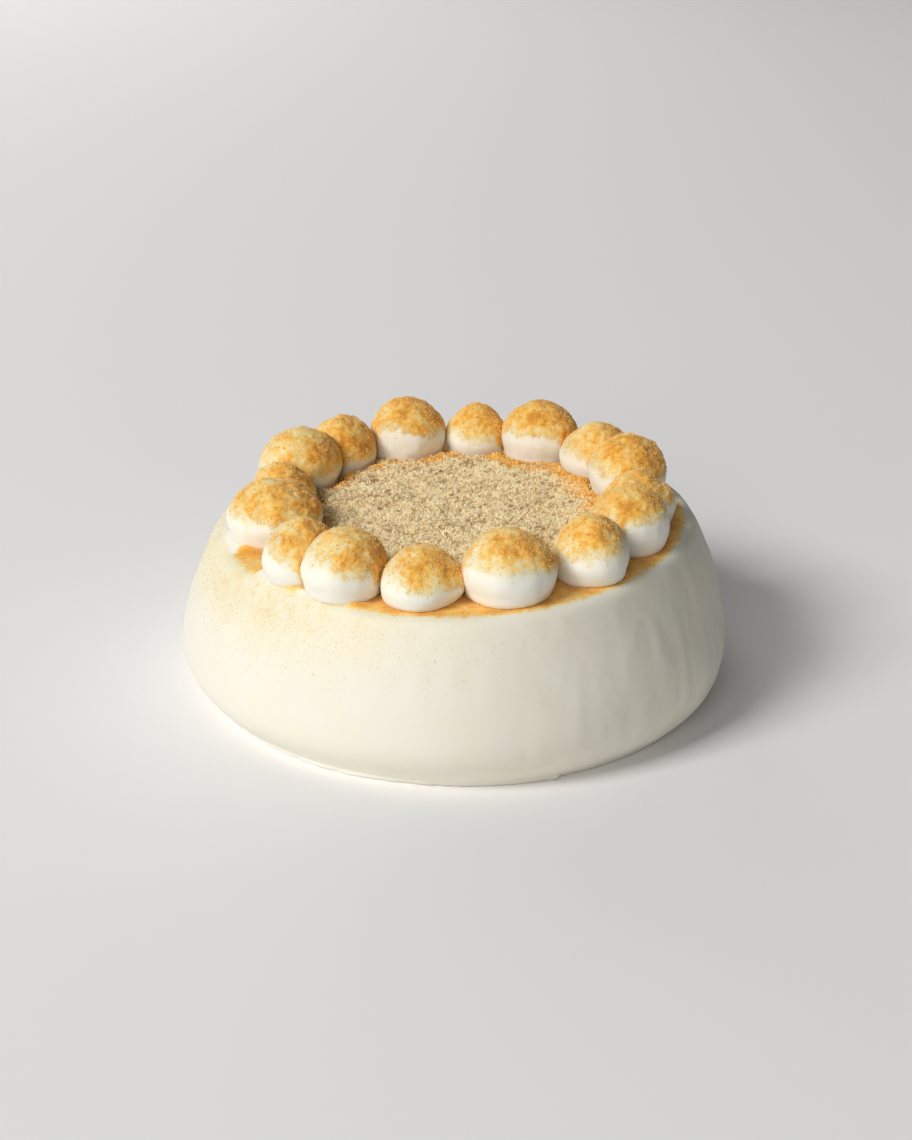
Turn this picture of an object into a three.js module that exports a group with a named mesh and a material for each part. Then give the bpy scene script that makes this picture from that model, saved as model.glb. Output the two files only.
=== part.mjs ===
// A round tofu cheesecake: a cream body with a slightly slanting flat top, a ring of sixteen cream dollops
// dusted with roasted soy flour, large and small by turns, and a bed of fine crumbs inside the ring.
// Units are millimetres. +Z is up, -Y is the front, and the origin is the middle of the underside.

import * as THREE from 'three';
import { mergeVertices } from 'three/addons/utils/BufferGeometryUtils.js';

const { degToRad, radToDeg, lerp, smoothstep } = THREE.MathUtils;

// Body: a round foot, the widest place low down, and a side that leans in to a rounded edge and a flat top.
// Each handle is how far the side's curve runs straight on from a place, outwards and upwards.
const FOOT_RADIUS = 76.7;
const FOOT_HANDLE = new THREE.Vector2(2.3, 2.8);
const BELLY_RADIUS = 84.4;
const BELLY_HEIGHT = 14.5;
const BELLY_HANDLE = new THREE.Vector2(0, 7.9);
const SHOULDER_RADIUS = 74;
const SHOULDER_HEIGHT = 47.6;
const SHOULDER_HANDLE = new THREE.Vector2(-5.2, 9.4);
const LID_RADIUS = 69.6; // the flat part of the top
const TOP_HEIGHT = 50.4;
const TOP_SLOPE = 0.0475; // rise of the flat top towards +X
const TOP_SHIFT = new THREE.Vector2(-1.3, 0.5); // how far the flat top sits off the middle of the foot
const TOP_BULGE = 3.2; // the top's edge swells out a little at the front
const TOP_BULGE_DEGREES = 12;
const TOP_BULGE_SPREAD_DEGREES = 34;
const BODY_WOBBLE = 0.5; // hand-spread unevenness of the side

// A thin smear of cream that runs out from the foot along the front
const SMEAR_REACH = 1.6;
const SMEAR_TOP_REACH = 1;
const SMEAR_HEIGHT = 1.6;
const SMEAR_FROM_DEGREES = -62;
const SMEAR_TO_DEGREES = 24;
const SMEAR_FADE_DEGREES = 6;

// Dollops, from the one just right of the front and on towards +X, round the ring.
// reach is from the middle of the top, slip is in degrees along the ring from the even place.
const RING_START_DEGREES = 16;
const DOLLOPS = [
  { width: 26.6, height: 19.2, reach: 60.5, slip: -0.5 },
  { width: 23.2, height: 18.2, reach: 60.5, slip: 2.5 },
  { width: 24.6, height: 18.5, reach: 57.5, slip: 4 },
  { width: 22.5, height: 16.5, reach: 56.5, slip: -0.5 },
  { width: 25, height: 19.1, reach: 57, slip: 1.5 },
  { width: 23, height: 17, reach: 58, slip: -0.5 },
  { width: 24.3, height: 18.9, reach: 58, slip: 1 },
  { width: 20.6, height: 16.7, reach: 58, slip: -0.5 },
  { width: 24.8, height: 19.7, reach: 58.5, slip: -0.4 },
  { width: 23, height: 18, reach: 58.5, slip: 0.5 },
  { width: 27, height: 19.5, reach: 57.5, slip: -2.5 },
  { width: 21, height: 16, reach: 54, slip: -2 },
  { width: 28.5, height: 18, reach: 55, slip: -3.5 },
  { width: 24, height: 17.3, reach: 60, slip: 4.5 },
  { width: 25.5, height: 18.2, reach: 61, slip: -1 },
  { width: 24.5, height: 15, reach: 60, slip: -1.6 },
];
const FOOT_SHARE = 0.82; // a dollop's foot against its widest place
// Height of the widest place against the dollop's height, and how round the dome above it is
const LARGE_FORM = { bellyShare: 0.4, domePower: 1.75 };
const SMALL_FORM = { bellyShare: 0.33, domePower: 1.6 };
const DOLLOP_UNEVEN = 0.03; // swelling of the round outline, as a share of the radius
const DOLLOP_RIPPLE = 0.018; // narrower swellings on top of that
const DOLLOP_LEAN = 1.2; // most that a tip stands off the middle of its foot

// Crumb bed inside the ring
const BED_HEIGHT = 3;
const BED_LIMIT = 50; // farthest that the crumbs reach between two dollops
const BED_RIM_SHARE = 0.85; // height at the outline against the height inside
const CRUMB_RELIEF = 0.9; // crumbs stand this far above or below the even level
const CRUMB_SCATTER = 0.3; // sideways, as a share of the spacing

const GAP = 0.3; // between pieces that touch

// Fineness of the faceted solids
const BODY_SIDES = 72;
const FOOT_STEPS = 6;
const SHOULDER_STEPS = 8;
const EDGE_STEPS = 3;
const DOLLOP_SIDES = 20;
const DOLLOP_FOOT_STEPS = 3;
const DOLLOP_DOME_STEPS = 6;
const BED_RINGS = 22;
const SEED = 20;

const cream = new THREE.MeshStandardMaterial({ color: '#f4ecdb', roughness: 0.55, metalness: 0 });
const dustedCream = new THREE.MeshStandardMaterial({ color: '#ecc98f', roughness: 0.85, metalness: 0 });
const crumb = new THREE.MeshStandardMaterial({ color: '#b79a74', roughness: 0.95, metalness: 0 });

// A repeatable stream of numbers between 0 and 1
function randomStream(seed) {
  let state = seed;
  return () => {
    state = (state * 1664525 + 1013904223) % 4294967296;
    return state / 4294967296;
  };
}

// A solid of revolution about Z, with shared vertices, from a profile of (radius, height) points
function revolve(profile, sides) {
  const geometry = new THREE.LatheGeometry(profile, sides);
  geometry.rotateX(Math.PI / 2);
  geometry.deleteAttribute('normal');
  geometry.deleteAttribute('uv');
  return mergeVertices(geometry, 1e-3);
}

// Moves every vertex by a function that changes the point it is given
function reshape(geometry, move) {
  const places = geometry.getAttribute('position');
  const point = new THREE.Vector3();
  for (let index = 0; index < places.count; index += 1) {
    point.fromBufferAttribute(places, index);
    move(point);
    places.setXYZ(index, point.x, point.y, point.z);
  }
  geometry.computeVertexNormals();
}

// Degrees round the cake from the front, positive towards +X
function degreesFromFront(point) {
  return radToDeg(Math.atan2(point.x, -point.y));
}

// Radius and height of the side and the top, from the middle of the foot to the middle of the lid
function bodyProfile() {
  const foot = new THREE.Vector2(FOOT_RADIUS, 0);
  const belly = new THREE.Vector2(BELLY_RADIUS, BELLY_HEIGHT);
  const shoulder = new THREE.Vector2(SHOULDER_RADIUS, SHOULDER_HEIGHT);
  const footHandle = foot.clone().add(FOOT_HANDLE);
  const underBelly = belly.clone().sub(BELLY_HANDLE);
  const overBelly = belly.clone().add(BELLY_HANDLE);
  const underShoulder = shoulder.clone().sub(SHOULDER_HANDLE);
  const lidRim = new THREE.Vector2(LID_RADIUS, TOP_HEIGHT);
  const edgeShare = (TOP_HEIGHT - SHOULDER_HEIGHT) / SHOULDER_HANDLE.y;
  const edgeCorner = shoulder.clone().addScaledVector(SHOULDER_HANDLE, edgeShare);
  const lower = new THREE.CubicBezierCurve(foot, footHandle, underBelly, belly);
  const upper = new THREE.CubicBezierCurve(belly, overBelly, underShoulder, shoulder);
  const edge = new THREE.QuadraticBezierCurve(shoulder, edgeCorner, lidRim);
  return [
    new THREE.Vector2(0, 0),
    ...lower.getPoints(FOOT_STEPS),
    ...upper.getPoints(SHOULDER_STEPS).slice(1),
    ...edge.getPoints(EDGE_STEPS).slice(1),
    new THREE.Vector2(0, TOP_HEIGHT),
  ];
}

// 1 along the front where the smear lies, 0 elsewhere, with soft ends
function smearShare(degrees) {
  const fadeIn = smoothstep(degrees, SMEAR_FROM_DEGREES, SMEAR_FROM_DEGREES + SMEAR_FADE_DEGREES);
  const fadeOut = smoothstep(degrees, SMEAR_TO_DEGREES - SMEAR_FADE_DEGREES, SMEAR_TO_DEGREES);
  return fadeIn * (1 - fadeOut);
}

// How far the side stands out from its even round at a height and an angle from the front
function sideSwell(height, degrees) {
  const rise = height / TOP_HEIGHT;
  const angle = degToRad(degrees);
  const broadRipple = 0.6 * Math.sin(3 * angle + 1.3);
  const narrowRipple = 0.4 * Math.sin(7 * angle + 4 * rise);
  const fromBulge = (degrees - TOP_BULGE_DEGREES) / TOP_BULGE_SPREAD_DEGREES;
  let swell = BODY_WOBBLE * (broadRipple + narrowRipple) * Math.sin(Math.PI * rise);
  swell += TOP_BULGE * Math.exp(-fromBulge * fromBulge) * rise ** 4;
  const smearRise = height / SMEAR_HEIGHT;
  if (smearRise < 1) swell += lerp(SMEAR_REACH, SMEAR_TOP_REACH, smearRise) * smearShare(degrees);
  return swell;
}

function buildBody() {
  const geometry = revolve(bodyProfile(), BODY_SIDES);
  reshape(geometry, (point) => {
    const radius = Math.hypot(point.x, point.y);
    if (radius < 1) return;
    const stretch = 1 + sideSwell(point.z, degreesFromFront(point)) / radius;
    point.x *= stretch;
    point.y *= stretch;
  });
  reshape(geometry, (point) => {
    const share = 1 - (1 - point.z / TOP_HEIGHT) ** 2;
    point.z += TOP_SLOPE * point.x * share;
    point.x += TOP_SHIFT.x * share;
    point.y += TOP_SHIFT.y * share;
  });
  const body = new THREE.Mesh(geometry, cream);
  body.name = 'cake_body';
  return body;
}

// Each dollop's middle, radius and dome, in the plane of the top
function placeDollops() {
  return DOLLOPS.map(({ width, height, reach, slip }, index) => {
    const even = RING_START_DEGREES + (360 / DOLLOPS.length) * index;
    const angle = degToRad(even + slip);
    return {
      middle: new THREE.Vector2(reach * Math.sin(angle), -reach * Math.cos(angle)),
      radius: width / 2,
      height,
      ...(index % 2 === 0 ? LARGE_FORM : SMALL_FORM),
    };
  });
}

function dollopProfile({ radius, height, bellyShare, domePower }) {
  const belly = bellyShare * height;
  const profile = [new THREE.Vector2(0, 0)];
  for (let step = 0; step < DOLLOP_FOOT_STEPS; step += 1) {
    const rise = step / DOLLOP_FOOT_STEPS;
    profile.push(new THREE.Vector2(radius * (1 - (1 - FOOT_SHARE) * (1 - rise) ** 2), belly * rise));
  }
  for (let step = 0; step < DOLLOP_DOME_STEPS; step += 1) {
    const rise = Math.sin(((step / DOLLOP_DOME_STEPS) * Math.PI) / 2);
    const share = (1 - rise ** domePower) ** (1 / domePower);
    profile.push(new THREE.Vector2(radius * share, belly + (height - belly) * rise));
  }
  profile.push(new THREE.Vector2(0, height));
  return profile;
}

// Flattens a dollop where it meets its neighbour, on the plane where their round outlines cross
function pressAgainst(geometry, own, neighbour) {
  const away = neighbour.middle.clone().sub(own.middle);
  const distance = away.length();
  away.divideScalar(distance);
  const crossing = (distance ** 2 + own.radius ** 2 - neighbour.radius ** 2) / (2 * distance);
  const limit = crossing - GAP / 2;
  reshape(geometry, (point) => {
    const past = Math.max(0, point.x * away.x + point.y * away.y - limit);
    point.x -= away.x * past;
    point.y -= away.y * past;
  });
}

function buildDollop(dollops, index, random) {
  const own = dollops[index];
  const swell = random() * 2 * Math.PI;
  const ripple = random() * 2 * Math.PI;
  const leanAngle = random() * 2 * Math.PI;
  const lean = DOLLOP_LEAN * random();
  const geometry = revolve(dollopProfile(own), DOLLOP_SIDES);
  reshape(geometry, (point) => {
    const angle = Math.atan2(point.y, point.x);
    const rise = point.z / own.height;
    const bulge = DOLLOP_UNEVEN * Math.sin(2 * angle + swell);
    const share = 1 + bulge + DOLLOP_RIPPLE * Math.sin(3 * angle + ripple + 2 * rise);
    point.x = point.x * share + lean * Math.cos(leanAngle) * rise ** 2;
    point.y = point.y * share + lean * Math.sin(leanAngle) * rise ** 2;
  });
  pressAgainst(geometry, own, dollops[(index + 1) % dollops.length]);
  pressAgainst(geometry, own, dollops.at(index - 1));
  const dollop = new THREE.Mesh(geometry, dustedCream);
  dollop.name = `dollop_${String(index + 1).padStart(2, '0')}`;
  dollop.position.set(own.middle.x, own.middle.y, 0);
  return dollop;
}

// How far the crumbs reach from the middle before they meet a dollop
function bedReach(dollops, angle) {
  const direction = new THREE.Vector2(Math.cos(angle), Math.sin(angle));
  let reach = BED_LIMIT;
  for (const { middle, radius } of dollops) {
    const along = middle.dot(direction);
    const aside = middle.cross(direction);
    const clear = radius * (1 + DOLLOP_UNEVEN + DOLLOP_RIPPLE);
    if (along > 0 && Math.abs(aside) < clear) {
      reach = Math.min(reach, along - Math.sqrt(clear * clear - aside * aside));
    }
  }
  return reach;
}

// Ring k of the bed holds 6k points, so this is the number of points inside it
function ringStart(ring) {
  return 1 + 3 * ring * (ring - 1);
}

// Rough top of the bed: rings of points round a middle point, each with six points more than the last
function bedTop(dollops, random) {
  const points = [0, 0, BED_HEIGHT];
  for (let ring = 1; ring <= BED_RINGS; ring += 1) {
    const onRim = ring === BED_RINGS;
    const scatter = onRim ? 0 : CRUMB_SCATTER;
    for (let step = 0; step < 6 * ring; step += 1) {
      const angle = ((step + scatter * (random() - 0.5)) / (6 * ring)) * 2 * Math.PI;
      const reach = (bedReach(dollops, angle) * (ring + scatter * (random() - 0.5))) / BED_RINGS;
      const level = onRim ? BED_RIM_SHARE * BED_HEIGHT : BED_HEIGHT;
      const height = level + CRUMB_RELIEF * (random() - 0.5);
      points.push(reach * Math.cos(angle), reach * Math.sin(angle), height);
    }
  }
  return points;
}

function bedTopTriangles() {
  const triangles = [];
  const pointOf = (ring, step) => (ring === 0 ? 0 : ringStart(ring) + (step % (6 * ring)));
  for (let ring = 1; ring <= BED_RINGS; ring += 1) {
    for (let sector = 0; sector < 6; sector += 1) {
      for (let step = 0; step < ring; step += 1) {
        const outer = sector * ring + step;
        const inner = sector * (ring - 1) + step;
        triangles.push(pointOf(ring, outer), pointOf(ring, outer + 1), pointOf(ring - 1, inner));
        if (step < ring - 1) {
          triangles.push(pointOf(ring - 1, inner), pointOf(ring, outer + 1), pointOf(ring - 1, inner + 1));
        }
      }
    }
  }
  return triangles;
}

function buildBed(dollops, random) {
  const points = bedTop(dollops, random);
  const triangles = bedTopTriangles();
  const rimStart = ringStart(BED_RINGS);
  const rimCount = 6 * BED_RINGS;
  const underStart = rimStart + rimCount;
  const underMiddle = underStart + rimCount;
  for (let step = 0; step < rimCount; step += 1) {
    const rim = 3 * (rimStart + step);
    points.push(points[rim], points[rim + 1], 0);
  }
  points.push(0, 0, 0);
  for (let step = 0; step < rimCount; step += 1) {
    const next = (step + 1) % rimCount;
    triangles.push(underStart + step, underStart + next, rimStart + next);
    triangles.push(underStart + step, rimStart + next, rimStart + step);
    triangles.push(underMiddle, underStart + next, underStart + step);
  }
  const geometry = new THREE.BufferGeometry();
  geometry.setAttribute('position', new THREE.Float32BufferAttribute(points, 3));
  geometry.setIndex(triangles);
  geometry.computeVertexNormals();
  const bed = new THREE.Mesh(geometry, crumb);
  bed.name = 'crumb_bed';
  return bed;
}

// The dollops and crumbs stand on the slanting top
function buildTopping() {
  const random = randomStream(SEED);
  const dollops = placeDollops();
  const topping = new THREE.Group();
  dollops.forEach((_, index) => topping.add(buildDollop(dollops, index, random)));
  topping.add(buildBed(dollops, random));
  topping.position.set(TOP_SHIFT.x, TOP_SHIFT.y, TOP_HEIGHT + GAP);
  topping.rotation.y = -Math.atan(TOP_SLOPE);
  return topping;
}

const cake = new THREE.Group();
cake.add(buildBody(), buildTopping());

// The uneven side moves the middle of the outline a little, so the whole cake is centred on the origin
cake.updateMatrixWorld(true);
const outline = new THREE.Box3().setFromObject(cake, true);
const outlineMiddle = outline.getCenter(new THREE.Vector3());
cake.position.set(-outlineMiddle.x, -outlineMiddle.y, 0);

export default cake;
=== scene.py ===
import itertools
import math

import bpy
import numpy as np
from mathutils import Matrix, Vector


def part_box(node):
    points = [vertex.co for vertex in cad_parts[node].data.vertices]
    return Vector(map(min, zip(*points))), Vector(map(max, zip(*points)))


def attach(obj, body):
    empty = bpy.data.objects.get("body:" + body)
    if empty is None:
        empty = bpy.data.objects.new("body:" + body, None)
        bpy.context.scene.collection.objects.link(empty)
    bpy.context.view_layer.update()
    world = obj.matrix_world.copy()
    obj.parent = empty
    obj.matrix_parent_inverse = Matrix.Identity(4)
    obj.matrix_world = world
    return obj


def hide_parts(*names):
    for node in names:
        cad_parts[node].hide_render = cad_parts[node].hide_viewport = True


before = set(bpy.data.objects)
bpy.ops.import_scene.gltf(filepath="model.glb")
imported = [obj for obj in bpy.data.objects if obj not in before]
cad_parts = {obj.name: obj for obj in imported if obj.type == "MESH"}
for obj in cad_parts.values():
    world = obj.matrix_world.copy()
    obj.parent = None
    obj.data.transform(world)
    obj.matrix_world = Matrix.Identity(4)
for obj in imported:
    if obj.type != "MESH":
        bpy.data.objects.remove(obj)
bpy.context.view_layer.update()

# Sizes are in millimetres and angles in degrees unless a name says otherwise. Meshes are made in metres.
# A pair named as a span, a start or an end holds the two values between which something fades in or out.
# Noise comes in layers, each with its strength, the width of its features and its seed.
MM = 0.001
SEED = 20

# Cake body: the curves of its side and of the lid's edge, by (radius, height) places that steer them
WIDEST = (84.4, 14.5)
SHOULDER = (74, 47.6)
LID_RADIUS = 69.6
TOP_HEIGHT = 50.4
LOWER_SIDE = ((76.7, 0), (79.0, 2.8), (84.4, 6.6), WIDEST)
UPPER_SIDE = (WIDEST, (84.4, 22.4), (79.2, 38.2), SHOULDER)
LID_EDGE = (SHOULDER, (72.45, TOP_HEIGHT), (LID_RADIUS, TOP_HEIGHT))
TOP_SLOPE = 0.0475
TOP_SHIFT = (-1.3, 0.5)
TOP_BULGE = 3.2
TOP_BULGE_AT = 12
TOP_BULGE_SPREAD = 34
TOP_BULGE_POWER = 4  # how strongly the bulge is kept to the top
BODY_WOBBLE = 0.5
# Waves round the side: share of the wobble, waves in a turn, start and twist up the side in radians
BODY_WAVES = ((0.6, 3, 1.3, 0), (0.4, 7, 0, 4))

# Thin lip of cream round the front of the foot
SMEAR_REACH = 1.6
SMEAR_START = (-62, -56)
SMEAR_END = (22, 24)
SMEAR_HEIGHT_END = (0.4, 2.08)
SMEAR_SHARE = 0.68
SMEAR_FRAY = ((0.3, 9, 3), (0.25, 2.2, 4))
FOOT_MM_PER_DEGREE = 1.3

# Fineness of the body's mesh
BODY_COLUMNS = 620
FOOT_ROWS = 36
SIDE_ROWS = 58
EDGE_ROWS = 10
LID_ROWS = 40
LID_FINE_FROM = 42  # radius outside which the lid shows between the dollops
INNER_LID_ROWS = (0.66, 0.33)  # shares of that radius

# Spread cream: unevenness of the side, by strength, stretch upwards, width of its features and seed
SIDE_RELIEF = (
    (0.36, 0.5, 34, 11),
    (0.12, 3.5, 5, 12),
    (0.05, 1, 3, 13),
)
SIDE_START = (0, 6)
SIDE_END = (TOP_HEIGHT - 4, TOP_HEIGHT)
ROUGHER_RIGHT = 0.8  # how much more uneven the right side is
RIGHT_START = (15, 50)
RIGHT_END = (120, 160)

# Roasted soy flour on the lid
FLOUR_DEPTH = 0.3
LID_FLOUR_END = (LID_RADIUS - 0.8, LID_RADIUS + 1.8)
LID_FLOUR_RAGGED = ((0.4, 1.8, 17), (0.4, 0.8, 18))
LID_FLOUR_HEIGHT = 0.5
LID_FLOUR_LUMPS = ((0.4, 1.4, 14),)
LID_DUST = 0.96
# Thicker, darker flour on the lid beside the dollops' feet: partly flour gathered there, partly painted
# shade that deepens the contact
DUST_AND_SHADE_AT_FEET = 0.26
BESIDE_FEET_END = (0.3, 3.5)
# Sectors of the lid's rim that lie bare, in degrees from the front and positive towards +X
BARE_RIM = ((-105, -69.5), (-55.5, -44.2), (-38.5, -33), (96, 116))
BARE_RIM_FADE = 1
BARE_RIM_RAGGED = ((1.6, 3, 7),)
BARE_RIM_OUTSIDE = (52, 58)  # radius from the ring's middle

# Light dusting of flour on the upper side
SHOULDER_DUST = 0.34
SHOULDER_LEAST = 0.16
SHOULDER_MOST_AT = -54
SHOULDER_SPREAD = 50
SHOULDER_END = (0, 60)
SHOULDER_HEIGHT_START = (0.38 * TOP_HEIGHT, TOP_HEIGHT)
SHOULDER_CLOUDS = ((0.2, 11, 15), (0.15, 3, 16))

# Flour on the dollops
FLOUR_LINE = 0.46  # a dollop is dusted where it faces up by more than this
CREVICE_FLOUR = 0.4  # how far below that line flour lies in the crevices between dollops
CREVICE_WIDTH = 3.2
COVER_START = (FLOUR_LINE - 0.3, FLOUR_LINE + 0.36)
COVER_RAGGED = ((0.12, 4.5, 21), (0.08, 1.6, 22))
VEIL = 0.15
VEIL_START = (FLOUR_LINE - 0.5, FLOUR_LINE)
VEIL_RAGGEDNESS = 1.5  # how many times as ragged as the cover the veil is
COVER_PATCHES = ((0.1, 5.5, 23),)
RIGHT_FLOUR_AND_SHADE = 0.3  # how much thicker flour lies on the side that faces +X, away from the key light; its darker orange there is painted shade
MOST_DUST = 1.3
# For each dollop: how far below the line its flour reaches, how far it leans to +X, and how thick it lies
FLOUR_ON_DOLLOPS = (
    (0.00, 0.12, 0.94), (0.05, -0.15, 0.95), (0.05, -0.20, 1.00), (0.05, -0.08, 1.00),
    (0.15, 0.05, 1.04), (0.10, 0.08, 0.98), (0.03, -0.05, 1.20), (0.12, 0.05, 1.04),
    (0.06, 0.00, 1.10), (0.28, 0.12, 1.02), (0.34, 0.05, 0.85), (0.25, 0.00, 0.96),
    (0.15, 0.10, 0.88), (0.12, 0.15, 0.85), (0.04, 0.16, 0.84), (0.07, 0.16, 0.88),
)

# Loose grains of flour
FLOUR_GRAIN_SIZE = (0.09, 0.34)
FLOUR_GRAIN_POWER = 3  # small grains outnumber large ones by this power
SHOULDER_GRAIN_SCALE = 0.65
GRAIN_PROUD = 0.3  # share of a grain's size by which it stands out
DOLLOP_GRAINS = 980
DOLLOP_GRAIN_POWER = 1.5  # how strongly grains keep to where dust is thick
LID_GRAINS = 4000
SHOULDER_GRAINS = 4400
GRAIN_TONE = (0.25, 0.85)
SHOULDER_GRAIN_TONE = (0.9, 1)
GRAIN_UNEVENNESS = (0.75, 1.15)

# Dollops
SMOOTHING_FACTOR = 0.5
DOLLOP_VOXEL = 0.5
DOLLOP_SMOOTHING = 34
DOLLOP_WAVES = ((0.32, 7, 25), (0.14, 3.2, 26))
POWDER_LUMPS = ((0.8, 1.9, 27), (0.7, 1.1, 19))
FOOT_END = (0.02, 0.2)  # share of the height over which the foot ends
FOOT_FLARE = 0.6  # how far a foot runs out on the lid
FOOT_MIDDLE = 0.6  # share of the radius inside which it runs out less
FOOT_SINK = 0.4  # how far it sinks to close the gap under the solid
FOOT_SINK_END = (0, 0.1)
JOIN_GAP = 0.5  # dollops about this near to each other are drawn out until they touch
JOIN_REACH = 0.5
JOIN_START = (0.5, 1)
FILLETED = ("dollop_13", "dollop_14", "dollop_15")
FILLET_FROM = 0.98  # share of the dollop's radius where its foot meets the lid
FILLET_END = (-0.5, 3.6)
FILLET_HEIGHT = 1.7
FILLET_OUTWARD_START = (3, 10)
LUMPY_TIPS = ("dollop_02", "dollop_04", "dollop_05", "dollop_10", "dollop_12", "dollop_13", "dollop_14")
TIP_START = (0.45, 0.85)
TIP_LUMPS = ((0.5, 4.4, 28), (0.35, 2.4, 29))

# Crumb bed
BED_VOXEL = 0.56
BED_SMOOTHING = 5
BED_TOP_START = (0.2, 0.7)
BED_SWELLS = ((0.1, 4.0, 32), (0.22, 0.8, 34))
PIT_DEPTH = 0.42
PIT_FROM = -0.15
PIT_LAYERS = ((-1, 1.3, 33), (-0.7, 0.7, 35))
BED_TONE = 0.34
# painted shade: the bed is darker in its pits and lighter on its clumps
BED_PIT_SHADE = 0.9
# painted shadow: how much darker the bed is in the corner at the left
BED_PAINTED_CORNER_SHADOW = 0.4

# Rim of the bed, where flour lies on the crumbs: its width, and how much wider it is at right and back
RIM_WIDTH = 4.5
RIM_WIDER_RIGHT = 7
RIM_RIGHT_START = (-15, 45)
RIM_WIDER_BACK = 2.5
RIM_BACK_START = (10, 45)
RIM_RAGGED = ((2.6, 6, 36), (1.8, 2.5, 31), (1.2, 1.2, 30))
RIM_END = (0.1, 1.0)
# Painted shadow in the corner at the left of the bed, between the dollops: where it starts from the left
# and where it ends towards the back
PAINTED_SHADOW_START = (20, 40)
PAINTED_SHADOW_BACK_END = (5, 30)
FLOUR_GONE_IN_PAINTED_SHADOW = 0.8  # share of the flour left out in the painted shadow of the corner at the left, so the crumbs there show plain and dark

# Loose crumbs
CRUMB_COUNT = 22000
PILED_CRUMB_COUNT = 2400
SMALL_CRUMB = (0.18, 0.36)
LARGE_CRUMB = (0.36, 0.55)
LARGE_CRUMB_SHARE = 0.08
CRUMB_PROUD = (-0.2, 0.6)  # share of a crumb's size by which it stands out
CRUMB_IN_PITS = 0.2
CRUMB_HEIGHT_START = (-0.2, 0.15)
CRUMB_MORE_AT_RIM = 0.6
PILE_ANGLE_RADIANS = 1.3
PILE_REACH = (0.9, 1.1)  # share of a dollop's radius
PILE_HEIGHT = (0.2, 2.9)
CRUMB_TONE = 0.58
# painted shade: crumbs are darker low in the pits and lighter on the clumps
CRUMB_PIT_SHADE = 0.7
CRUMB_TONE_AT_RIM = 0.04
# painted shadow: how much darker the crumbs are in the corner at the left
CRUMB_PAINTED_CORNER_SHADOW = 0.6
CRUMB_TONE_SPREAD = 0.2
POWDERED_LEAST = 0.055
POWDERED_DUST = 0.9

# Corners and faces of a grain
OCTAHEDRON = np.array([(1, 0, 0), (-1, 0, 0), (0, 1, 0), (0, -1, 0), (0, 0, 1), (0, 0, -1)], float)
OCTAHEDRON_FACES = np.array([
    (0, 2, 4), (2, 1, 4), (1, 3, 4), (3, 0, 4),
    (2, 0, 5), (1, 2, 5), (3, 1, 5), (0, 3, 5),
])

# Colours
BODY_CREAM = ((0.865, 0.830, 0.722, 1), (0.865, 0.821, 0.694, 1))
DOLLOP_CREAM = ((0.915, 0.89, 0.795, 1), (0.915, 0.88, 0.76, 1))
FLOUR_VEIL = (0.93, 0.825, 0.52, 1)
SPECK = (0.83, 0.71, 0.37, 1)
FLOUR_LIGHT = (0.97, 0.71, 0.265, 1)
FLOUR = (0.95, 0.48, 0.062, 1)
FLOUR_DARK = (0.72, 0.30, 0.035, 1)
CRUMB_DARK = (0.45, 0.295, 0.13, 1)
CRUMB = (0.97, 0.80, 0.475, 1)
CRUMB_LIGHT = (0.98, 0.88, 0.64, 1)
FLOOR = (0.93, 0.92, 0.905, 1)
WHITE = (1.0, 1.0, 1.0, 1)

# Dusted cream: size and roughness of each pattern, and how far it breaks up the flour's edge and its depth
NOISE_DETAIL = 2.0
FLOUR_SPECKS = (0.42, 0.65)
FLOUR_CLUMPS = (1.6, 0.6)
FLOUR_PATCHES = (5.0, 0.5)
CREAM_CLOUDS = (14.0, 0.5)
CREAM_CLOUDS_SPAN = (0.35, 0.65)
SPECKS_IN_EDGE = 1.5
CLUMPS_IN_EDGE = 0.7
EDGE_START = (0.0, 0.45)
MASK_SPAN = (0.08, 0.7)
WHOLE_SPAN = (0.0, 1.0)
DUST_IN_DEPTH = 0.72
PATCHES_IN_DEPTH = 1.5
CLUMPS_IN_DEPTH = 1.1
SPECKS_IN_DEPTH = 0.7
FLOUR_STOPS = ((0.12, FLOUR_VEIL), (0.4, FLOUR_LIGHT), (0.76, FLOUR), (1.0, FLOUR_DARK))
VEILED_SPAN = (0.0, 0.5)
MOST_VEILED = 0.6
BODY_SOFTNESS = 0.45
DOLLOP_SOFTNESS = 0.3
FLOUR_SOFTNESS = 0.15
SOFT_REACH_METRES = 0.007
SOFT_COLOURS = (1.0, 0.97, 0.9)
BODY_PATCHINESS = 0.5
DOLLOP_PATCHINESS = 1.0
CREAM_ROUGHNESS = 0.55
CREAM_SHINE = 0.3
FLOUR_SHEEN = 0.45
SHEEN_ROUGHNESS = 0.6
SHEEN_TINT = (1.0, 0.82, 0.5, 1)
FLOUR_LIFT = 0.5  # how high the thinnest flour stands in the bump
FLOUR_BUMP = 0.15

# Loose flour, crumbs and floor
GRAIN_STOPS = ((0.0, FLOUR_DARK), (0.35, FLOUR), (0.7, FLOUR_LIGHT), (1.0, SPECK))
PLAIN_CRUMB_STOPS = ((0.05, CRUMB_DARK), (0.45, CRUMB), (0.95, CRUMB_LIGHT))
POWDERED_CRUMB_STOPS = ((0.05, FLOUR_DARK), (0.45, FLOUR), (0.95, FLOUR_LIGHT))
DRY_ROUGHNESS = 0.95
DRY_SHINE = 0.2
CRUMB_GRAIN = (0.5, 0.6)
CRUMB_BUMP = 0.1
FLOOR_ROUGHNESS = 0.9
FLOOR_SHINE = 0.1
FLOOR_REACH_METRES = 40  # far enough to fill the frame in low views

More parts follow.
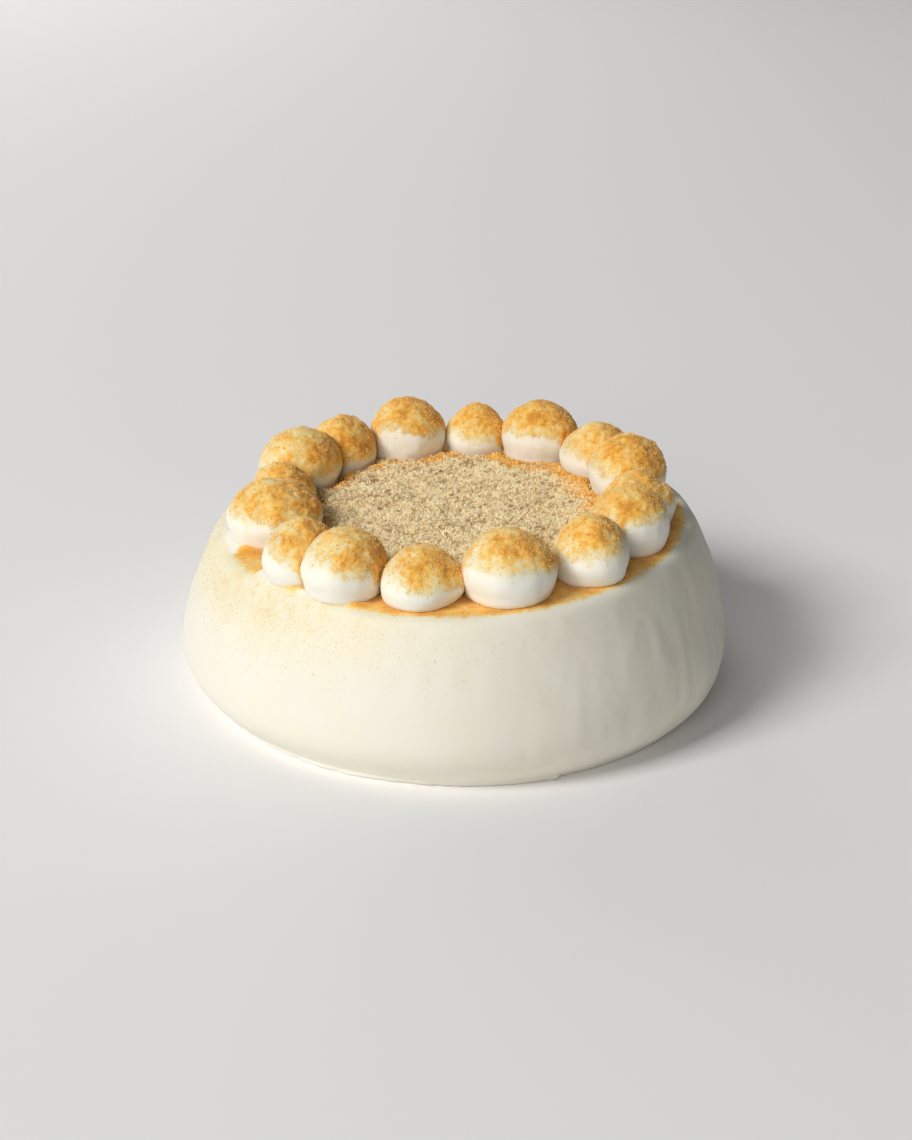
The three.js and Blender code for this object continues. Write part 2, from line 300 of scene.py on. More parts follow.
# Camera: the photograph's frame is 912 by 1140 pixels
FRAME_HEIGHT_PX = 1140
FOCAL_LENGTH_PX = 2200
SENSOR = 36
CAMERA_TARGET = (0.33, 0.93, 32.8)
CAMERA_DISTANCE = 682.4
CAMERA_ELEVATION = 23.45
CAMERA_ROLL = 1.2235

# Lights: azimuth from the front and positive to +X, elevation, distance, width and height in metres, watts
LIGHTS = {
    "key": (-56, 40, 3.6, 1.3, 1.1, 90),
    "front": (-14, 24, 5.2, 3.2, 2.0, 78),
    "back": (-172, 40, 2.4, 2.5, 2.0, 9),
    "back_left": (-150, 22, 1.6, 1.4, 1.0, 4),
}
LIGHT_TARGET_METRES = (0, 0, 0.03)
WORLD_STRENGTH = 0.035

random = np.random.default_rng(SEED)


# Numbers

def smooth_step(value, low, high):
    share = np.clip((value - low) / (high - low), 0, 1)
    return share * share * (3 - 2 * share)


def between(value, start, end):
    """1 from where the start span ends to where the end span begins, and 0 outside both."""
    return smooth_step(value, *start) * (1 - smooth_step(value, *end))


def cell_value(cells, seed):
    """A repeatable number from 0 to 1 for each cell of a whole-number lattice, by hashing its place."""
    x, y, z = (cells[:, axis].astype(np.uint32) for axis in range(3))
    mixed = x * np.uint32(374761393) + y * np.uint32(668265263) + z * np.uint32(2246822519)
    mixed = mixed + np.uint32(seed * 974711 + 12345)
    mixed = (mixed ^ (mixed >> np.uint32(13))) * np.uint32(1274126177)
    mixed = mixed ^ (mixed >> np.uint32(16))
    return mixed / 2**32


def noise(points, width, seed):
    """Smooth noise from -1 to 1 whose features are about as wide as said."""
    scaled = points / width
    corner = np.floor(scaled).astype(np.int64)
    share = smooth_step(scaled - corner, 0, 1)
    total = np.zeros(len(points))
    for offset in itertools.product((0, 1), repeat=3):
        weight = np.prod(np.where(offset, share, 1 - share), axis=1)
        total += weight * cell_value(corner + offset, seed)
    return 2 * total - 1


def layered(points, layers):
    """The sum of layers of noise, each given by its strength, the width of its features and its seed."""
    return sum(strength * noise(points, width, seed) for strength, width, seed in layers)


def curve(places, count):
    """Points along the smooth curve that the places steer, from the first place to the last."""
    share = np.linspace(0, 1, count)[:, None]
    points = [np.array(place, float) for place in places]
    while len(points) > 1:
        points = [(1 - share) * first + share * second for first, second in zip(points, points[1:])]
    return points[0]


def unit(vectors):
    return vectors / np.linalg.norm(vectors, axis=-1, keepdims=True)


# Meshes

def add_piece(name, points, faces):
    """A smooth-shaded mesh object from points in millimetres."""
    mesh = bpy.data.meshes.new(name)
    mesh.from_pydata(points * MM, [], faces)
    mesh.update()
    mesh.shade_smooth()
    piece = bpy.data.objects.new(name, mesh)
    bpy.context.scene.collection.objects.link(piece)
    return piece


def get_points(mesh):
    points = np.empty(3 * len(mesh.vertices), np.float32)
    mesh.vertices.foreach_get("co", points)
    return points.reshape(-1, 3).astype(float) / MM


def set_points(mesh, points):
    mesh.vertices.foreach_set("co", (points * MM).astype(np.float32).ravel())
    mesh.update()


def get_normals(mesh):
    normals = np.empty(3 * len(mesh.vertices), np.float32)
    mesh.vertex_normals.foreach_get("vector", normals)
    return normals.reshape(-1, 3).astype(float)


def get_triangles(mesh):
    mesh.calc_loop_triangles()
    triangles = np.empty(3 * len(mesh.loop_triangles), np.int32)
    mesh.loop_triangles.foreach_get("vertices", triangles)
    return triangles.reshape(-1, 3)


def set_values(mesh, name, values):
    attribute = mesh.attributes.new(name, "FLOAT", "POINT")
    attribute.data.foreach_set("value", values.astype(np.float32))


def get_values(mesh, name):
    values = np.empty(len(mesh.vertices), np.float32)
    mesh.attributes[name].data.foreach_get("value", values)
    return values.astype(float)


def box_mm(node):
    low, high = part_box(node)
    return np.array(low) / MM, np.array(high) / MM


def soft_copy(node, name, voxel, smoothing):
    """A fine, even and rounded mesh of a node's solid, as large as the solid."""
    piece = bpy.data.objects.new(name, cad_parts[node].data.copy())
    bpy.context.scene.collection.objects.link(piece)
    remesh = piece.modifiers.new("remesh", "REMESH")
    remesh.mode = "VOXEL"
    remesh.voxel_size = voxel * MM
    smooth = piece.modifiers.new("smooth", "SMOOTH")
    smooth.factor = SMOOTHING_FACTOR
    smooth.iterations = smoothing
    shaped = bpy.data.meshes.new_from_object(piece.evaluated_get(bpy.context.evaluated_depsgraph_get()))
    piece.modifiers.clear()
    piece.data = shaped
    shaped.materials.clear()
    shaped.shade_smooth()
    points = get_points(shaped)
    own_low, own_high = points.min(axis=0), points.max(axis=0)
    low, high = box_mm(node)
    set_points(shaped, low + (points - own_low) * (high - low) / (own_high - own_low))
    return piece


def finish_piece(piece, material, slot, *nodes):
    piece.data.materials.append(material)
    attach(piece, "root")
    if nodes:
        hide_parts(*nodes)


# Materials

class Shader:
    """A material with one Principled shader, and short ways to add nodes to it."""

    def __init__(self, name):
        self.material = bpy.data.materials.new(name)
        self.material.use_nodes = True
        self.tree = self.material.node_tree
        self.principled = self.tree.nodes["Principled BSDF"]

    def add(self, kind, **settings):
        made = self.tree.nodes.new(kind)
        for key, value in settings.items():
            setattr(made, key, value)
        return made

    def feed(self, socket, value):
        """Sets a socket to a number or colour, or links it to another node's output."""
        if isinstance(value, bpy.types.NodeSocket):
            self.tree.links.new(value, socket)
        else:
            socket.default_value = value

    def set(self, **values):
        for name, value in values.items():
            self.feed(self.principled.inputs[name.replace("_", " ")], value)

    def attribute(self, name):
        return self.add("ShaderNodeAttribute", attribute_name=name).outputs["Fac"]

    def noise(self, size, roughness):
        made = self.add("ShaderNodeTexNoise")
        self.feed(made.inputs["Vector"], self.add("ShaderNodeTexCoord").outputs["Object"])
        made.inputs["Scale"].default_value = 1 / (size * MM)
        made.inputs["Detail"].default_value = NOISE_DETAIL
        made.inputs["Roughness"].default_value = roughness
        return made.outputs["Fac"]

    def centred_noise(self, size, roughness):
        return self.math("SUBTRACT", self.noise(size, roughness), 0.5)

    def math(self, operation, first, second):
        made = self.add("ShaderNodeMath", operation=operation)
        self.feed(made.inputs[0], first)
        self.feed(made.inputs[1], second)
        return made.outputs[0]

    def weighted(self, *terms):
        """The sum of outputs, each times its own weight."""
        total, *others = [self.math("MULTIPLY", output, weight) for output, weight in terms]
        for other in others:
            total = self.math("ADD", total, other)
        return total

    def span(self, value, span, to=WHOLE_SPAN):
        made = self.add("ShaderNodeMapRange", interpolation_type="SMOOTHSTEP")
        self.feed(made.inputs["Value"], value)
        for end, limit, result in zip(("Min", "Max"), span, to):
            made.inputs["From " + end].default_value = limit
            made.inputs["To " + end].default_value = result
        return made.outputs["Result"]

    def mix(self, share, first, second):
        made = self.add("ShaderNodeMix", data_type="RGBA")
        colours = [socket for socket in made.inputs if socket.type == "RGBA"]
        self.feed(made.inputs["Factor"], share)
        self.feed(colours[0], first)
        self.feed(colours[1], second)
        return next(socket for socket in made.outputs if socket.type == "RGBA")

    def ramp(self, share, stops):
        made = self.add("ShaderNodeValToRGB")
        elements = made.color_ramp.elements
        while len(elements) < len(stops):
            elements.new(1.0)
        for element, (position, colour) in zip(elements, stops):
            element.position = position
            element.color = colour
        self.feed(made.inputs["Fac"], share)
        return made.outputs["Color"]

    def bump(self, height, depth):
        made = self.add("ShaderNodeBump")
        made.inputs["Strength"].default_value = 1.0
        made.inputs["Distance"].default_value = depth * MM
        self.feed(made.inputs["Height"], height)
        self.feed(self.principled.inputs["Normal"], made.outputs["Normal"])


def dusted_cream(name, cream_colours, softness, patchiness):
    """Cream with roasted soy flour where the mesh's dust is high, and specks of it where that is low."""
    shader = Shader(name)
    dust = shader.attribute("dust")
    specks = shader.centred_noise(*FLOUR_SPECKS)
    clumps = shader.centred_noise(*FLOUR_CLUMPS)
    patches = shader.centred_noise(*FLOUR_PATCHES)
    broken = shader.weighted((specks, SPECKS_IN_EDGE), (clumps, CLUMPS_IN_EDGE))
    limited = shader.math("MULTIPLY", broken, shader.span(dust, EDGE_START))
    mask = shader.span(shader.math("ADD", dust, limited), MASK_SPAN)
    depth = shader.weighted(
        (dust, DUST_IN_DEPTH),
        (patches, PATCHES_IN_DEPTH * patchiness),
        (clumps, CLUMPS_IN_DEPTH * patchiness),
        (specks, SPECKS_IN_DEPTH),
    )
    flour = shader.ramp(depth, FLOUR_STOPS)
    cream = shader.mix(shader.span(shader.noise(*CREAM_CLOUDS), CREAM_CLOUDS_SPAN), *cream_colours)
    veiled = shader.mix(shader.span(dust, VEILED_SPAN, (0.0, MOST_VEILED)), cream, FLOUR_VEIL)
    shader.set(Base_Color=shader.mix(mask, veiled, flour))
    shader.set(Roughness=shader.span(mask, WHOLE_SPAN, (CREAM_ROUGHNESS, DRY_ROUGHNESS)))
    shader.set(Specular_IOR_Level=CREAM_SHINE)
    shader.set(Subsurface_Weight=shader.span(mask, WHOLE_SPAN, (softness, FLOUR_SOFTNESS)))
    shader.set(Subsurface_Scale=SOFT_REACH_METRES * softness, Subsurface_Radius=SOFT_COLOURS)
    shader.set(Sheen_Weight=shader.span(mask, WHOLE_SPAN, (0.0, FLOUR_SHEEN)))
    shader.set(Sheen_Roughness=SHEEN_ROUGHNESS, Sheen_Tint=SHEEN_TINT)
    shader.bump(shader.math("MULTIPLY", mask, shader.math("ADD", depth, FLOUR_LIFT)), FLOUR_BUMP)
    return shader.material


def loose_flour():
    shader = Shader("loose_flour")
    shader.set(Base_Color=shader.ramp(shader.attribute("tone"), GRAIN_STOPS))
    shader.set(Roughness=DRY_ROUGHNESS, Specular_IOR_Level=DRY_SHINE)
    return shader.material


def crumb(name):
    """Dry pale crumb, darker where the mesh's tone is low and orange with flour where its dust is high."""
    shader = Shader(name)
    tone = shader.attribute("tone")
    plain = shader.ramp(tone, PLAIN_CRUMB_STOPS)
    powdered = shader.ramp(tone, POWDERED_CRUMB_STOPS)
    shader.set(Base_Color=shader.mix(shader.attribute("dust"), plain, powdered))
    shader.set(Roughness=DRY_ROUGHNESS, Specular_IOR_Level=DRY_SHINE)
    shader.bump(shader.noise(*CRUMB_GRAIN), CRUMB_BUMP)
    return shader.material


def plain_paper():
    shader = Shader("pale_floor")
    shader.set(Base_Color=FLOOR, Roughness=FLOOR_ROUGHNESS, Specular_IOR_Level=FLOOR_SHINE)
    return shader.material


# Places of the dollops, from the frame

def dollop_places():
    nodes = sorted(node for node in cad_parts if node.startswith("dollop_"))
    places = []
    for node, flour in zip(nodes, FLOUR_ON_DOLLOPS):
        low, high = box_mm(node)
        places.append({
            "node": node,
            "flour": flour,
            "middle": (low + high)[:2] / 2,
            "radius": (high - low)[:2].mean() / 2,
            "low": low[2],
            "height": high[2] - low[2],
        })
    return places


DOLLOPS = dollop_places()
RING_MIDDLE = np.mean([dollop["middle"] for dollop in DOLLOPS], axis=0)


def gap_to_dollops(points, left_out=None):
    """How far points lie from the nearest dollop, seen from above, with one dollop left out."""
    nearest = np.full(len(points), np.inf)
    for dollop in DOLLOPS:
        if dollop is not left_out:
            gap = np.linalg.norm(points[:, :2] - dollop["middle"], axis=1) - dollop["radius"]
            nearest = np.minimum(nearest, gap)
    return nearest


# Cake body

def body_profile():
    """Radius and height of each row, from the foot over the edge to the middle of the lid."""
    lid = np.linspace(LID_RADIUS, LID_FINE_FROM, LID_ROWS)[1:]
    flat = np.concatenate([lid, LID_FINE_FROM * np.array(INNER_LID_ROWS)])
    return np.concatenate([
        curve(LOWER_SIDE, FOOT_ROWS),
        curve(UPPER_SIDE, SIDE_ROWS)[1:],
        curve(LID_EDGE, EDGE_ROWS)[1:],
        np.stack([flat, np.full(len(flat), TOP_HEIGHT)], axis=1),
    ])


def side_swell(height, degrees):
    """How far the side bulges out, by waves round it and by one broad bulge near the top."""
    rise = height / TOP_HEIGHT
    angle = np.radians(degrees)
    waves = np.zeros_like(rise)
    for share, count, start, twist in BODY_WAVES:
        waves += share * np.sin(count * angle + start + twist * rise)
    across = np.exp(-(((degrees - TOP_BULGE_AT) / TOP_BULGE_SPREAD)**2))
    return BODY_WOBBLE * waves * np.sin(np.pi * rise) + TOP_BULGE * across * rise**TOP_BULGE_POWER


def smear_lip(height, degrees):
    """A thin frayed lip of cream round the front of the foot."""
    along = np.zeros((degrees.size, 3))
    along[:, 0] = FOOT_MM_PER_DEGREE * degrees.ravel()
    fray = SMEAR_SHARE + layered(along, SMEAR_FRAY).reshape(degrees.shape)
    fall = 1 - smooth_step(height, *SMEAR_HEIGHT_END)
    return SMEAR_REACH * between(degrees, SMEAR_START, SMEAR_END) * fall * fray


def body_points(profile):
    """Points of the smooth body row by row, with the angle of each and its height before the top slants."""
    degrees, height = np.meshgrid(np.linspace(-180, 180, BODY_COLUMNS, endpoint=False), profile[:, 1])
    radius = np.tile(profile[:, :1], (1, BODY_COLUMNS))
    swell = side_swell(height, degrees) * np.minimum(1, radius / LID_FINE_FROM)
    radius = radius + swell + smear_lip(height, degrees)
    x = radius * np.sin(np.radians(degrees))
    y = -radius * np.cos(np.radians(degrees))
    share = 1 - (1 - height / TOP_HEIGHT)**2
    z = height + TOP_SLOPE * x * share
    points = np.stack([x + TOP_SHIFT[0] * share, y + TOP_SHIFT[1] * share, z], axis=-1).reshape(-1, 3)
    low, high = box_mm("cake_body")
    points[:, :2] += (low + high)[:2] / 2 - (points.min(axis=0) + points.max(axis=0))[:2] / 2
    return points, degrees.ravel(), height.ravel()


def body_faces(row_count):
    """Rings of quads from row to row, closed by one face in the middle of the lid and one underneath."""
    columns = np.arange(BODY_COLUMNS)
    following = np.roll(columns, -1)
    quads = np.stack([columns, following, following + BODY_COLUMNS, columns + BODY_COLUMNS], axis=1)
    starts = BODY_COLUMNS * np.arange(row_count)
    faces = (quads[None] + starts[:-1, None, None]).reshape(-1, 4).tolist()
    faces.append((starts[-1] + columns).tolist())
    faces.append(columns[::-1].tolist())
    return faces


def side_relief(points, degrees, height):
    """How far the spread cream of the side stands out, more unevenly at the right."""
    on_right = between(degrees, RIGHT_START, RIGHT_END)
    rough = between(height, SIDE_START, SIDE_END) * (1 + ROUGHER_RIGHT * on_right)
    relief = np.zeros(len(points))
    for strength, stretch, width, seed in SIDE_RELIEF:
        relief += rough * strength * noise(points / np.array([1, 1, stretch]), width, seed)
    return relief


def lid_flour(points):
    """1 where flour lies on the lid, 0 on the bare sectors of its rim."""
    from_middle = points[:, :2] - RING_MIDDLE
    degrees = np.degrees(np.arctan2(from_middle[:, 0], -from_middle[:, 1]))
    degrees += layered(points, BARE_RIM_RAGGED)
    outside = smooth_step(np.linalg.norm(from_middle, axis=1), *BARE_RIM_OUTSIDE)
    fade = np.array([-BARE_RIM_FADE, BARE_RIM_FADE])
    cover = np.ones(len(points))
    for start, end in BARE_RIM:
        cover *= 1 - outside * between(degrees, start + fade, end + fade)
    return cover


def foot_fillets(points):
    """How far the lid's cream is drawn up against the feet of the dollops that it runs into."""
    rise = np.zeros(len(points))
    for dollop in DOLLOPS:
        if dollop["node"] in FILLETED:
            away = points[:, :2] - dollop["middle"]
            gap = np.linalg.norm(away, axis=1) - FILLET_FROM * dollop["radius"]
            outward = away @ unit(dollop["middle"] - RING_MIDDLE)
            height = FILLET_HEIGHT * (1 - smooth_step(gap, *FILLET_END))**2
            rise = np.maximum(rise, height * smooth_step(outward, *FILLET_OUTWARD_START))
    return rise


def shoulder_flour(height, degrees):
    """A light dusting on the upper side, strongest at the left of the front."""
    across = np.exp(-(((degrees - SHOULDER_MOST_AT) / SHOULDER_SPREAD)**2))
    side = SHOULDER_LEAST + (1 - SHOULDER_LEAST) * across
    side *= 1 - smooth_step(degrees, *SHOULDER_END)
    return side * smooth_step(height, *SHOULDER_HEIGHT_START)


def build_body():
    profile = body_profile()
    points, degrees, height = body_points(profile)
    piece = add_piece("spread_body", points, body_faces(len(profile)))

    inside = np.repeat(profile[:, 0], BODY_COLUMNS) + layered(points, LID_FLOUR_RAGGED)
    lid = (1 - smooth_step(inside, *LID_FLOUR_END)) * (height > SHOULDER[1])
    flour = lid * lid_flour(points)
    relief = side_relief(points, degrees, height)
    relief += FLOUR_DEPTH * flour * (LID_FLOUR_HEIGHT + layered(points, LID_FLOUR_LUMPS))
    points = points + get_normals(piece.data) * relief[:, None]
    points[:, 2] += lid * foot_fillets(points)
    set_points(piece.data, points)

    cloud = 1 + layered(points, SHOULDER_CLOUDS)
    shoulder = SHOULDER_DUST * (1 - lid) * shoulder_flour(height, degrees) * cloud
    feet_dust_and_shade = 1 - smooth_step(gap_to_dollops(points), *BESIDE_FEET_END)
    # painted shade at the feet: the extra dust turns the flour there darker
    set_values(piece.data, "dust", flour * (LID_DUST + DUST_AND_SHADE_AT_FEET * feet_dust_and_shade) + shoulder)
    set_values(piece.data, "lid_specks", flour)
    set_values(piece.data, "shoulder_specks", np.clip(shoulder, 0, 1))
    cream = dusted_cream("spread_cream", BODY_CREAM, BODY_SOFTNESS, BODY_PATCHINESS)
    finish_piece(piece, cream, "cream", "cake_body")
    return piece


# Dollops

def dollop_dust(points, normals, dollop):
    """How much flour lies on a dollop: most on what faces up, a veil below that, none farther down."""
    lower, lean, amount = dollop["flour"]
    crevice = 1 - smooth_step(gap_to_dollops(points, dollop), 0, CREVICE_WIDTH)
    facing = normals @ unit(np.array([lean, 0, 1])) + lower + CREVICE_FLOUR * crevice
    ragged = layered(points, COVER_RAGGED)
    cover = smooth_step(facing + ragged, *COVER_START)
    veil = VEIL * smooth_step(facing + VEIL_RAGGEDNESS * ragged, *VEIL_START)
    # painted shade: the flour grows thicker and darker on the +X side, away from the key light
    patchy = layered(points, COVER_PATCHES) + RIGHT_FLOUR_AND_SHADE * normals[:, 0]
    return np.clip(cover * (amount - VEIL + patchy) + veil, 0, MOST_DUST)


def reach_out(normals, dollop):
    """How far a dollop is drawn out sideways to touch those that stand just beside it."""
    shift = np.zeros((len(normals), 2))
    for other in DOLLOPS:
        way = other["middle"] - dollop["middle"]
        gap = np.linalg.norm(way) - dollop["radius"] - other["radius"]
        if other is not dollop and abs(gap) < JOIN_GAP:
            facing = smooth_step(normals[:, :2] @ unit(way), *JOIN_START)
            shift += JOIN_REACH * facing[:, None] * unit(way)
    return shift


def build_dollop(dollop, material):
    piece = soft_copy(dollop["node"], dollop["node"] + "_cream", DOLLOP_VOXEL, DOLLOP_SMOOTHING)
    points = get_points(piece.data)
    normals = get_normals(piece.data)
    rise = (points[:, 2] - dollop["low"]) / dollop["height"]
    above_foot = smooth_step(rise, *FOOT_END)
    dust = dollop_dust(points, normals, dollop)
    relief = above_foot * layered(points, DOLLOP_WAVES)
    relief += np.clip(dust, 0, 1) * FLOUR_DEPTH * layered(points, POWDER_LUMPS)
    if dollop["node"] in LUMPY_TIPS:
        relief += smooth_step(rise, *TIP_START) * layered(points, TIP_LUMPS)
    away = points[:, :2] - dollop["middle"]
    from_middle = np.linalg.norm(away, axis=1) / (FOOT_MIDDLE * dollop["radius"])
    spread = FOOT_FLARE * (1 - above_foot) * np.minimum(1, from_middle)
    points = points + normals * relief[:, None]
    points[:, :2] += unit(away) * spread[:, None] + reach_out(normals, dollop)
    points[:, 2] -= FOOT_SINK * (1 - smooth_step(rise, *FOOT_SINK_END))
    set_points(piece.data, points)
    set_values(piece.data, "dust", dust)
    finish_piece(piece, material, "dusted_cream", dollop["node"])
    return piece


# Loose grains

def build_grains(name, places, sizes):
    """Many small uneven grains as one mesh."""
    count = len(places)
    first = unit(random.normal(size=(count, 3)))
    second = unit(np.cross(first, random.normal(size=(count, 3))))
    turn = np.stack([first, second, np.cross(first, second)], axis=1)
    spread = random.uniform(*GRAIN_UNEVENNESS, size=(count, len(OCTAHEDRON), 1))
    corners = (OCTAHEDRON[None] * spread) @ turn * sizes[:, None, None] + places[:, None]
    faces = OCTAHEDRON_FACES[None] + len(OCTAHEDRON) * np.arange(count)[:, None, None]
    piece = add_piece(name, corners.reshape(-1, 3), faces.reshape(-1, 3).tolist())
    piece.data.shade_flat()
    return piece


def set_grain_values(piece, name, values):
    """Gives every corner of a grain the grain's own value."""
    set_values(piece.data, name, np.repeat(values, len(OCTAHEDRON)))


def pick_on(mesh, chance, count):
    """Random places on a mesh and the way it faces there, by area and by the chance at each point."""
    points = get_points(mesh)
    normals = get_normals(mesh)
    triangles = get_triangles(mesh)
    corners = points[triangles]
    across = np.cross(corners[:, 1] - corners[:, 0], corners[:, 2] - corners[:, 0])
    weight = np.linalg.norm(across, axis=1) * chance[triangles].mean(axis=1)
    picked = random.choice(len(triangles), count, p=weight / weight.sum())
    share = random.dirichlet((1, 1, 1), count)[:, :, None]
    return (corners[picked] * share).sum(axis=1), unit((normals[triangles[picked]] * share).sum(axis=1))


def build_flour(body, dollops):
    """Loose grains of flour on every dusted surface."""
    picked = [
        pick_on(body.data, get_values(body.data, "lid_specks"), LID_GRAINS),
        pick_on(body.data, get_values(body.data, "shoulder_specks"), SHOULDER_GRAINS),
    ]
    for dollop in dollops:
        chance = np.clip(get_values(dollop.data, "dust"), 0, 1)**DOLLOP_GRAIN_POWER
        picked.append(pick_on(dollop.data, chance, DOLLOP_GRAINS))
    places = np.concatenate([place for place, _ in picked])
    facing = np.concatenate([way for _, way in picked])
    smallest, largest = FLOUR_GRAIN_SIZE
    sizes = smallest + (largest - smallest) * random.random(len(places))**FLOUR_GRAIN_POWER
    on_shoulder = slice(LID_GRAINS, LID_GRAINS + SHOULDER_GRAINS)
    sizes[on_shoulder] *= SHOULDER_GRAIN_SCALE
    piece = build_grains("flour_grains", places + facing * sizes[:, None] * GRAIN_PROUD, sizes)
    tone = random.uniform(*GRAIN_TONE, size=len(places))
    tone[on_shoulder] = random.uniform(*SHOULDER_GRAIN_TONE, size=SHOULDER_GRAINS)
    set_grain_values(piece, "tone", tone)
    finish_piece(piece, loose_flour(), "dusted_cream")


# Crumb bed

def painted_corner_shadow(points):
    """1 at the left of the bed, where a painted shadow darkens the crumbs between the dollops and leaves
    out their flour.
    """
    return smooth_step(-points[:, 0], *PAINTED_SHADOW_START) * (1 - smooth_step(points[:, 1], *PAINTED_SHADOW_BACK_END))


def rim_share(points):
    """0 inside the bed, 1 at its rim beside the dollops, where flour lies on the crumbs."""
    width = RIM_WIDTH + RIM_WIDER_RIGHT * smooth_step(points[:, 0], *RIM_RIGHT_START)
    width += RIM_WIDER_BACK * smooth_step(points[:, 1], *RIM_BACK_START)
    gap = gap_to_dollops(points) + layered(points, RIM_RAGGED)
    return 1 - smooth_step(gap / width, *RIM_END)


def clumps(points):
    """How far the crumbs stand above or below the bed's even level: small clumps with pits between them."""
    level = points * np.array([1, 1, 0])
    pits = np.clip(PIT_FROM + layered(level, PIT_LAYERS), 0, 1)
    return layered(level, BED_SWELLS) - PIT_DEPTH * pits


def piled_places(count):
    """Places in the corner between the bed and the dollops' feet, inside the ring."""
    picked = random.integers(len(DOLLOPS), size=count)
    middles = np.array([dollop["middle"] for dollop in DOLLOPS])[picked]
    radii = np.array([dollop["radius"] for dollop in DOLLOPS])[picked]
    lows = np.array([dollop["low"] for dollop in DOLLOPS])[picked]
    inward = RING_MIDDLE - middles
    turn = random.uniform(-PILE_ANGLE_RADIANS, PILE_ANGLE_RADIANS, size=count)
    angle = np.arctan2(inward[:, 1], inward[:, 0]) + turn
    reach = radii * random.uniform(*PILE_REACH, size=count)
    height = lows + random.uniform(*PILE_HEIGHT, size=count)
    return np.stack([
        middles[:, 0] + reach * np.cos(angle),
        middles[:, 1] + reach * np.sin(angle),
        height,
    ], axis=1)


def build_core():
    """The bed's solid with its clumps and pits. Gives the piece and the chance of a crumb at each point."""
    piece = soft_copy("crumb_bed", "crumb_core", BED_VOXEL, BED_SMOOTHING)
    points = get_points(piece.data)
    up = smooth_step(get_normals(piece.data)[:, 2], *BED_TOP_START)
    relief = clumps(points)
    rim = rim_share(points)
    corner = painted_corner_shadow(points)
    set_points(piece.data, points + np.array([0, 0, 1]) * (up * relief)[:, None])
    # painted shadow in the corner at the left: flour left out here and the tone lowered below
    set_values(piece.data, "dust", rim * (1 - FLOUR_GONE_IN_PAINTED_SHADOW * corner))
    # painted shade: the tone falls in the pits and rises on the clumps
    tone = BED_TONE + BED_PIT_SHADE * relief - BED_PAINTED_CORNER_SHADOW * corner * rim
    set_values(piece.data, "tone", np.clip(tone, 0, 1))
    finish_piece(piece, crumb("crumb_core"), "crumb", "crumb_bed")
    chance = up * (CRUMB_IN_PITS + smooth_step(relief, *CRUMB_HEIGHT_START))
    return piece, chance * (1 + CRUMB_MORE_AT_RIM * rim)


def build_crumbs(core, chance):
    """Loose crumbs on the bed, and piled against the dollops' feet."""
    on_bed, facing = pick_on(core.data, chance, CRUMB_COUNT)
    places = np.concatenate([on_bed, piled_places(PILED_CRUMB_COUNT)])
    count = len(places)
    sizes = random.uniform(*SMALL_CRUMB, size=count)
    large = random.random(count) < LARGE_CRUMB_SHARE
    sizes[large] = random.uniform(*LARGE_CRUMB, size=large.sum())
    proud = random.uniform(*CRUMB_PROUD, size=CRUMB_COUNT) * sizes[:CRUMB_COUNT]
    places[:CRUMB_COUNT] += facing * proud[:, None]
    piece = build_grains("loose_crumbs", places, sizes)
    rim = rim_share(places)
    corner = painted_corner_shadow(places)
    # painted shade: crumbs low in the pits are darker
    tone = CRUMB_TONE + CRUMB_PIT_SHADE * clumps(places)
    # painted shadow in the corner at the left: darker crumbs, and fewer of them powdered
    tone += rim * (CRUMB_TONE_AT_RIM - CRUMB_PAINTED_CORNER_SHADOW * corner)
    tone += random.normal(0, CRUMB_TONE_SPREAD, size=count)
    powdered_share = POWDERED_LEAST + (1 - POWDERED_LEAST) * rim * (1 - FLOUR_GONE_IN_PAINTED_SHADOW * corner)
    powdered = random.random(count) < powdered_share
    set_grain_values(piece, "tone", np.clip(tone, 0, 1))
    set_grain_values(piece, "dust", POWDERED_DUST * powdered)
    finish_piece(piece, crumb("loose_crumb"), "crumb")


# Stage, light and camera

def add_floor():
    mesh = bpy.data.meshes.new("floor")
    corners = np.array([(-1, -1, 0), (1, -1, 0), (1, 1, 0), (-1, 1, 0)]) * FLOOR_REACH_METRES
    mesh.from_pydata(corners, [], [(0, 1, 2, 3)])
    floor = bpy.data.objects.new("floor", mesh)
    bpy.context.scene.collection.objects.link(floor)
    mesh.materials.append(plain_paper())


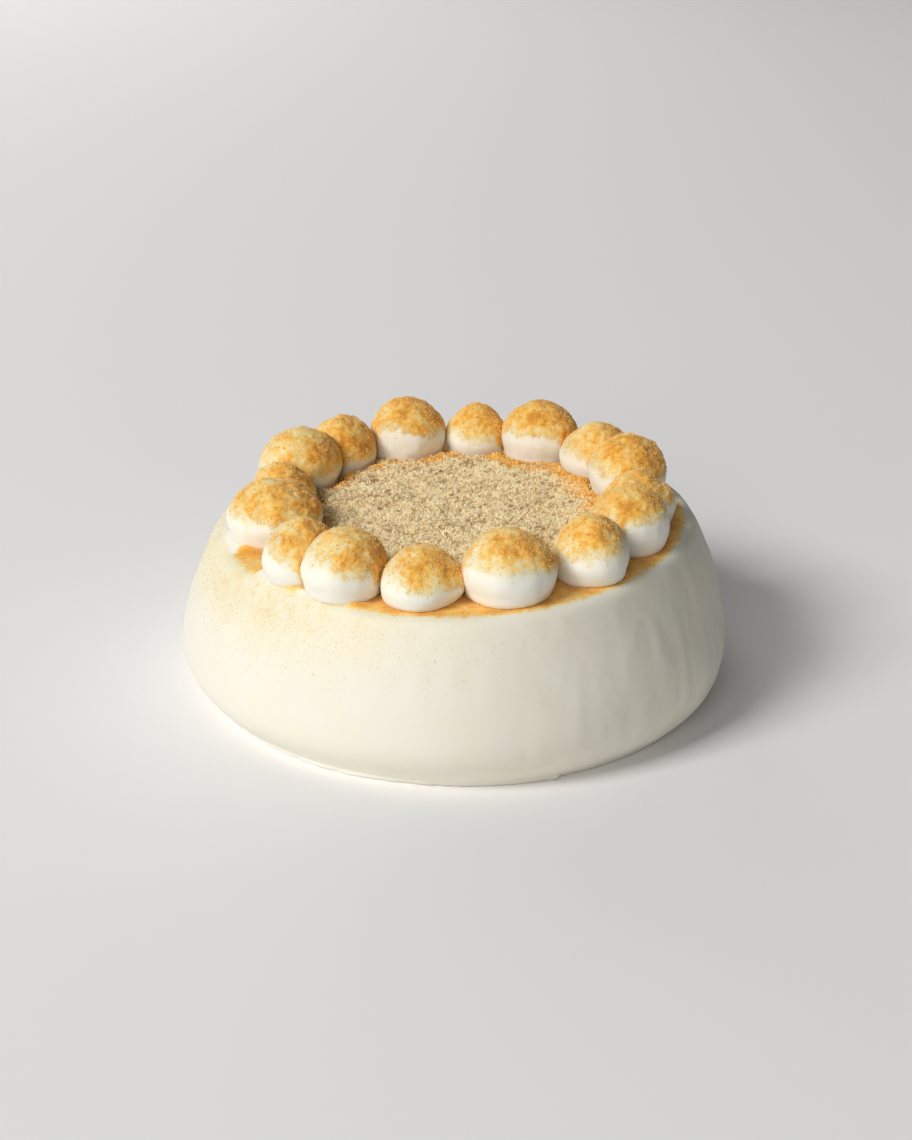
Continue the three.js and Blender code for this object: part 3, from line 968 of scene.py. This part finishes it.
def add_area_light(name, azimuth, elevation, distance, width, height, power):
    """A soft light that looks at the cake."""
    light = bpy.data.lights.new(name, "AREA")
    light.shape = "RECTANGLE"
    light.size = width
    light.size_y = height
    light.energy = power
    lamp = bpy.data.objects.new(name, light)
    across = math.cos(math.radians(elevation))
    away = Vector((
        across * math.sin(math.radians(azimuth)),
        -across * math.cos(math.radians(azimuth)),
        math.sin(math.radians(elevation)),
    ))
    lamp.location = Vector(LIGHT_TARGET_METRES) + away * distance
    lamp.rotation_euler = away.to_track_quat("Z", "Y").to_euler()
    bpy.context.scene.collection.objects.link(lamp)


def add_light():
    for name, place in LIGHTS.items():
        add_area_light(name, *place)
    world = bpy.data.worlds.new("studio")
    world.use_nodes = True
    background = world.node_tree.nodes["Background"]
    background.inputs["Color"].default_value = WHITE
    background.inputs["Strength"].default_value = WORLD_STRENGTH
    bpy.context.scene.world = world
    bpy.context.scene.view_settings.view_transform = "Standard"


def add_camera():
    elevation = math.radians(CAMERA_ELEVATION)
    roll = math.radians(CAMERA_ROLL)
    forward = Vector((0, math.cos(elevation), -math.sin(elevation)))
    level_right = Vector((1, 0, 0))
    level_up = level_right.cross(forward)
    right = level_right * math.cos(roll) + level_up * math.sin(roll)
    up = right.cross(forward)
    data = bpy.data.cameras.new("camera")
    data.sensor_width = SENSOR
    data.lens = SENSOR * FOCAL_LENGTH_PX / FRAME_HEIGHT_PX
    camera = bpy.data.objects.new("camera", data)
    turn = Matrix((right, up, -forward)).transposed().to_4x4()
    place = (Vector(CAMERA_TARGET) - forward * CAMERA_DISTANCE) * MM
    camera.matrix_world = Matrix.Translation(place) @ turn
    bpy.context.scene.collection.objects.link(camera)
    bpy.context.scene.camera = camera


body = build_body()
dollop_cream = dusted_cream("dollop_cream", DOLLOP_CREAM, DOLLOP_SOFTNESS, DOLLOP_PATCHINESS)
dollops = [build_dollop(dollop, dollop_cream) for dollop in DOLLOPS]
build_crumbs(*build_core())
build_flour(body, dollops)
add_floor()
add_light()
add_camera()
